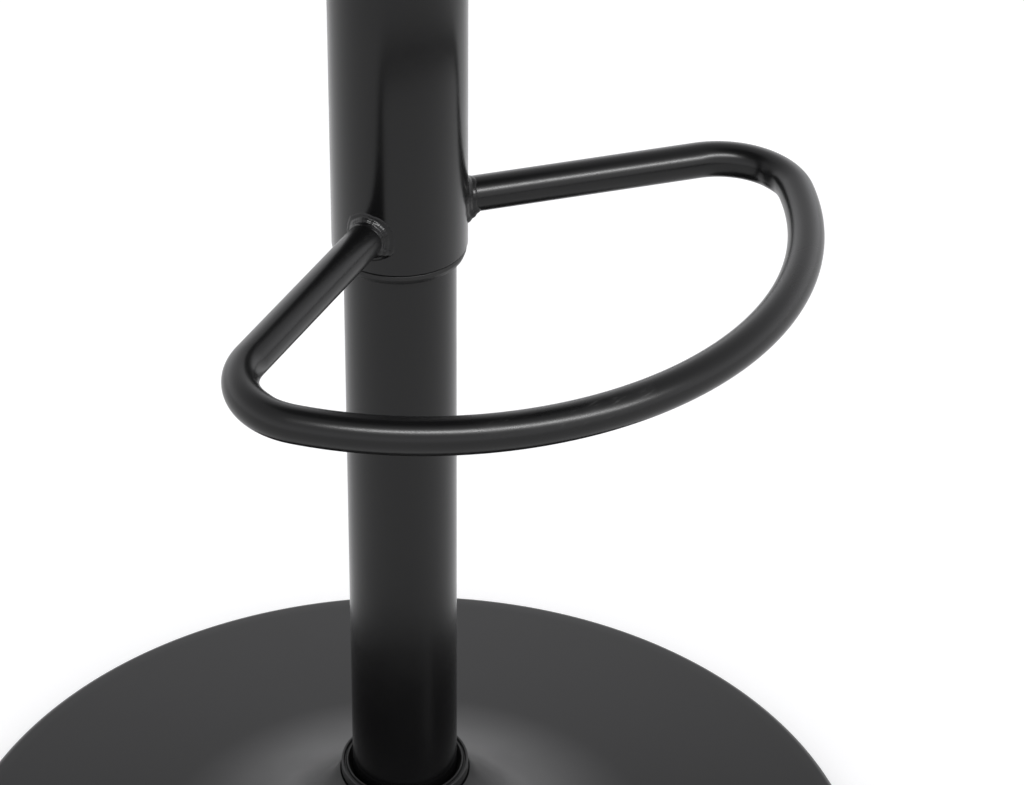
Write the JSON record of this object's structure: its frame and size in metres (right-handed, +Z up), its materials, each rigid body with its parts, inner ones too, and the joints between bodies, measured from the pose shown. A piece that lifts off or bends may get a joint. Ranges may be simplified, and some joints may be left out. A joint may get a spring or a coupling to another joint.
{
  "type": "bar stool with footrest",
  "caption": "Height-adjustable swivel bar stool: round trumpet base, telescopic column, sliding sleeve with a D-shaped footrest loop, round padded seat and a release lever.",
  "frame": {"origin": "on the floor, at the centre of the round base, on the column's axis", "axes": "+Z up along the column; the footrest and the sitter face -Y; the lever is on -X, the sitter's right"},
  "size_m": [0.45, 0.45, 0.8335],
  "materials": {
    "base_paint": "satin",
    "column_paint": "satin",
    "sleeve_paint": "satin",
    "footrest_paint": "satin",
    "cylinder_paint": "gloss",
    "mechanism_paint": "satin",
    "black_plastic": "satin",
    "bush_plastic": "satin",
    "ring_rubber": "matte",
    "plate_steel": "matte",
    "bearing_steel": "polished",
    "cage_brass": "satin",
    "rod_chrome": "polished",
    "piston_aluminium": "satin",
    "zinc": "satin",
    "plywood": "matte",
    "foam": "matte",
    "faux_leather": "satin",
    "dust_cloth": "matte"
  },
  "bodies": {
    "base": {"base_shell": "base_paint", "base_plate": "plate_steel", "floor_ring": "ring_rubber", "column_flange": "plate_steel", "base_screws": "zinc", "column_tube": "column_paint", "neck_collar": "black_plastic", "column_plug": "plate_steel", "thrust_race_lower": "bearing_steel", "thrust_balls": "bearing_steel", "ball_cage": "cage_brass", "guide_bush": "bush_plastic"},
    "gas_rod": {"thrust_race_upper": "bearing_steel", "piston_rod": "rod_chrome", "rod_clip": "zinc", "rod_washer": "zinc", "bumper": "ring_rubber", "piston": "piston_aluminium", "piston_seal": "ring_rubber"},
    "seat": {"gas_cylinder": "cylinder_paint", "rod_guide": "piston_aluminium", "rod_seal": "ring_rubber", "valve_body": "piston_aluminium", "sleeve": "sleeve_paint", "sleeve_top_plate": "sleeve_paint", "sleeve_guide_ring": "black_plastic", "footrest_loop": "footrest_paint", "footrest_welds": "footrest_paint", "taper_socket": "mechanism_paint", "lever_bracket": "mechanism_paint", "lever_pivot_pin": "rod_chrome", "seat_plate": "mechanism_paint", "seat_washers": "zinc", "seat_bolts": "zinc", "t_nuts": "zinc", "seat_board": "plywood", "seat_foam": "foam", "seat_cover": "faux_leather", "seat_welts": "faux_leather", "dust_cover": "dust_cloth", "staples": "zinc"},
    "lever": {"lever_rod": "mechanism_paint", "lever_grip": "black_plastic"},
    "release_button": {"release_button": "rod_chrome"}
  },
  "joints": [
    {"name": "swivel", "type": "hinge", "parent": "base", "child": "gas_rod", "pos_m": [0, 0, 0.0264], "axis": [0, 0, 1], "continuous": true},
    {"name": "lift", "type": "slide", "parent": "gas_rod", "child": "seat", "axis": [0, 0, 1], "range_m": [-0.21, 0]},
    {"name": "lever_pull", "type": "hinge", "parent": "seat", "child": "lever", "pos_m": [-0.03, 0, 0.731], "axis": [0, 1, 0], "range_deg": [0, 8], "stiffness_Nm_per_rad": 8, "springref_deg": -2.86},
    {"name": "button_press", "type": "slide", "parent": "seat", "child": "release_button", "axis": [0, 0, -1], "range_m": [0, 0.0042], "stiffness_N_per_m": 400, "springref_m": -0.004}
  ],
  "couplings": [
    {"joint": "button_press", "follows": "lever_pull", "m_per_rad": 0.03}
  ]
}
